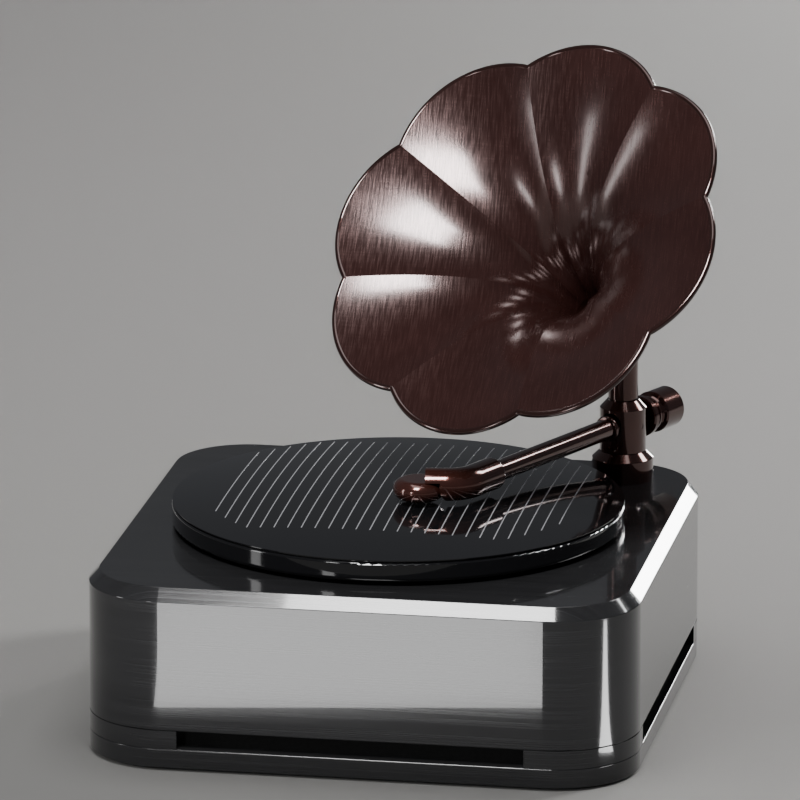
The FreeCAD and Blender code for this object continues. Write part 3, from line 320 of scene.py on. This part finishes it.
bmesh.ops.recalc_face_normals(bm, faces=bm.faces)
if bm.faces[:][0].normal.z < 0:
    bmesh.ops.reverse_faces(bm, faces=bm.faces)
bmesh.ops.solidify(bm, geom=bm.faces[:], thickness=LINE_T)
inlay = Finish("line_metal", (0.42, 0.42, 0.44), 0.3, 0.6)
inlay.set({"Roughness": 0.25 + inlay.noise(inlay.x, inlay.y, inlay.z, 300) * 0.2})
add_piece("inlay_lines", bm, inlay, "platter_assembly", "line_inlay", "record_lines")
paint(gloss, "platter")

# ---- Column, arm, soundbox and weight: turned metal under a dark red-brown lacquer.
# The lacquer is deep and glossy, a little redder where it is thin.


def red_brown(name, dark, light, low, high, polish):
    """A clouded metal lacquer, from one colour to another and one roughness to another."""
    f = Finish(name, light, low, 0.75, coat_weight=polish, coat_roughness=0.04)
    cloud = f.noise(f.x, f.y, f.z, 28, 4.0)
    fine = f.noise(f.x * 300, f.y * 300, f.z * 900)
    f.set({"Base Color": f.tint(cloud * 0.7 + fine * 0.3, dark, light),
           "Roughness": low + cloud * (high - low)})
    return f


arm_lacquer = red_brown("arm_lacquer", (0.045, 0.013, 0.009), (0.10, 0.034, 0.026), 0.1, 0.2, 1.0)
paint(arm_lacquer, "column_collar", "arm_housing", "housing_cap", "tonearm_tube", "tube_ferrule",
      "headshell", "soundbox_cover", "soundbox_base", "counterweight", "horn_pipe", "horn_elbow",
      "horn_neck", "horn_ferrule", "swivel_bushes", "pivot_pins", "thrust_washers")

# ---- Horn: eight seamed petals spun from thin metal, brushed up and down inside the bell.
# Each petal is one skin from the rim to the throat, and the seams between them stay sharp.
AZIMUTH, ELEVATION = math.radians(25.4), math.radians(39.7)
MOUTH_R, FLARE, CUSP = 0.1423, 0.0393, 0.914
THROAT, FADE, SKIN = 0.104, 0.012, 0.0012
PETALS, ACROSS, ALONG = 8, 30, 76
SECTOR = 2 * math.pi / PETALS
ELBOW_UP, BELL_REACH = 0.091, 0.1547
CROWDING = 1.4      # the rows of a petal crowd towards the mouth
forward = Vector((-math.sin(AZIMUTH) * math.cos(ELEVATION), -math.cos(AZIMUTH) * math.cos(ELEVATION),
                  math.sin(ELEVATION)))
level = Vector((0, 0, 1)).cross(forward).normalized()
rise = forward.cross(level)
tube_low, tube_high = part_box("sound_tube")
plinth_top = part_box("plinth_shell")[1].z
elbow = (tube_low + tube_high) / 2
elbow.z = plinth_top + ELBOW_UP
mouth = elbow + forward * BELL_REACH


def horn_point(depth, angle, r):
    """The place at a depth behind the mouth, an angle round the axis and a radius from it."""
    return mouth - forward * depth + level * (r * math.cos(angle)) + rise * (r * math.sin(angle))


def petal_radius(depth, off):
    """Distance from the horn's axis on one petal's arc, at an angle off its middle."""
    tip = MOUTH_R * math.exp(-depth / FLARE)
    fade = min(max((depth - THROAT + FADE) / FADE, 0.0), 1.0)
    crease = tip * (CUSP + (1 - CUSP) * fade * fade * (3 - 2 * fade))
    chord, bulge = crease * math.sin(SECTOR / 2), tip - crease * math.cos(SECTOR / 2)
    arc = (chord ** 2 + bulge ** 2) / (2 * bulge)
    centre = tip - arc
    return centre * math.cos(off) + math.sqrt(arc ** 2 - (centre * math.sin(off)) ** 2)


bell = Finish("bell_lacquer", (0.05, 0.02, 0.017), 0.25, 0.55, ior=1.6, coat_weight=0.7,
              coat_roughness=0.16)
upright = bell.noise(bell.x * 1100, bell.y * 60, bell.z * 80, detail=3.0)
lying = bell.noise(bell.x * 60, bell.y * 60, bell.z * 1100, detail=3.0)
broad = bell.noise(bell.x * 420, bell.y * 12, bell.z * 12)
cloud = bell.noise(bell.x, bell.y, bell.z, 14)
hairs = bell.shade.node("ShaderNodeMapRange", None, {0: upright, 1: 0.38, 2: 0.62, 3: 0.0, 4: 1.0})
brush = hairs * 0.5 + lying * 0.3 + broad * 0.2
bell.set({"Base Color": bell.tint(brush * 0.3 + cloud * 0.7,
                                  (0.014, 0.0042, 0.0035), (0.058, 0.021, 0.018)),
          "Roughness": 0.08 + brush * 0.26,
          "Normal": bell.bump(brush, 0.3, 0.0001)})

petals = []
for number in range(PETALS):
    middle = number * SECTOR
    bm = bmesh.new()
    bmesh.ops.create_grid(bm, x_segments=ACROSS, y_segments=ALONG, size=1.0)
    for vert in bm.verts:
        off = vert.co.x * SECTOR / 2
        depth = THROAT * ((1 - vert.co.y) / 2) ** CROWDING
        vert.co = horn_point(depth, middle + off, petal_radius(depth, off))
    bmesh.ops.recalc_face_normals(bm, faces=bm.faces)
    if bm.faces[0].normal.dot(forward) < 0:
        bmesh.ops.reverse_faces(bm, faces=bm.faces)
    bmesh.ops.solidify(bm, geom=bm.faces[:], thickness=SKIN)
    petals.append(add_piece(f"horn_petal_{number + 1}", bm, bell, "horn", "horn_bronze",
                            "horn_petals"))
light_only(overhead, petals, "EXCLUDE")

# ---- Rim: rolled round a wire, petal by petal, with a small fold at each seam.
# It follows the petals' front edge and lies a little behind it.
rim_finish = red_brown("rim_lacquer", (0.02, 0.008, 0.0065), (0.055, 0.021, 0.018), 0.1, 0.2, 1.0)
BEAD_R, BEAD_BACK = 0.0021, 0.0019
STEPS = 40
rim_curve = bpy.data.curves.new("rim_roll", "CURVE")
rim_curve.dimensions = "3D"
rim_curve.bevel_depth = BEAD_R
rim_curve.bevel_resolution = 5
rim_line = rim_curve.splines.new("POLY")
rim_line.points.add(PETALS * STEPS - 1)
for k, point in enumerate(rim_line.points):
    number, step = divmod(k, STEPS)
    off = (step / STEPS - 0.5) * SECTOR
    point.co = (*horn_point(BEAD_BACK, number * SECTOR + off, petal_radius(0.0, off)), 1)
rim_line.use_cyclic_u = True
rim_line.use_smooth = True
rim = bpy.data.objects.new("rim_roll", rim_curve)
bpy.context.scene.collection.objects.link(rim)
rim_curve.materials.append(rim_finish.material)
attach(rim, "horn")
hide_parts("rim_bead")

# ---- Inside pieces and the back panel: plain workshop finishes, each with its own grain.
# A speck darkens the colour a little and spreads the roughness to both sides.
SPECK_DARK, SPECK_SPREAD = 0.7, 0.06


def grained(name, color, rough, metallic, grain):
    """A plain finish with fine specks; a larger grain value makes them smaller."""
    f = Finish(name, color, rough, metallic)
    speck = f.noise(f.x, f.y, f.z, grain, 3.0)
    dark = tuple(SPECK_DARK * c for c in color)
    f.set({"Base Color": f.tint(speck, dark, color),
           "Roughness": rough - SPECK_SPREAD + speck * (2 * SPECK_SPREAD)})
    return f


paint(grained("board_green", (0.02, 0.13, 0.05), 0.45, 0.0, 240), "amplifier_board")
paint(grained("bright_steel", (0.62, 0.62, 0.64), 0.25, 1.0, 500), "base_screws", "m3_screws",
      "motor_shaft", "platter_shaft", "thrust_ball", "socket_pin", "stylus", "tube_nut",
      "motor_plate", "counterweight_stub", "sound_tube")
paint(grained("cast_alloy", (0.6, 0.6, 0.62), 0.4, 1.0, 700), "board_posts", "heat_sink",
      "sub_platter", "motor_pulley", "driver_throat", "gimbal_ring", "mounting_post", "needle_holder")
paint(grained("bronze", (0.5, 0.3, 0.12), 0.35, 1.0, 400), "bearing_housing")
paint(grained("iron_grey", (0.12, 0.12, 0.125), 0.5, 0.7, 600), "motor_can", "driver_magnet")
paint(grained("black_moulding", (0.012, 0.012, 0.013), 0.45, 0.0, 900), "capacitors", "driver_cover",
      "switch_body", "power_socket", "switch_rocker")
paint(grained("belt_rubber", (0.015, 0.015, 0.015), 0.7, 0.0, 800), "drive_belt", "platter_mat")
paint(grained("coil_copper", (0.5, 0.22, 0.08), 0.35, 1.0, 900), "pickup_coil")
paint(grained("film_amber", (0.25, 0.18, 0.08), 0.4, 0.0, 300), "driver_diaphragm")
paint(grained("felt_black", (0.02, 0.02, 0.021), 0.95, 0.0, 1600), "base_felt")
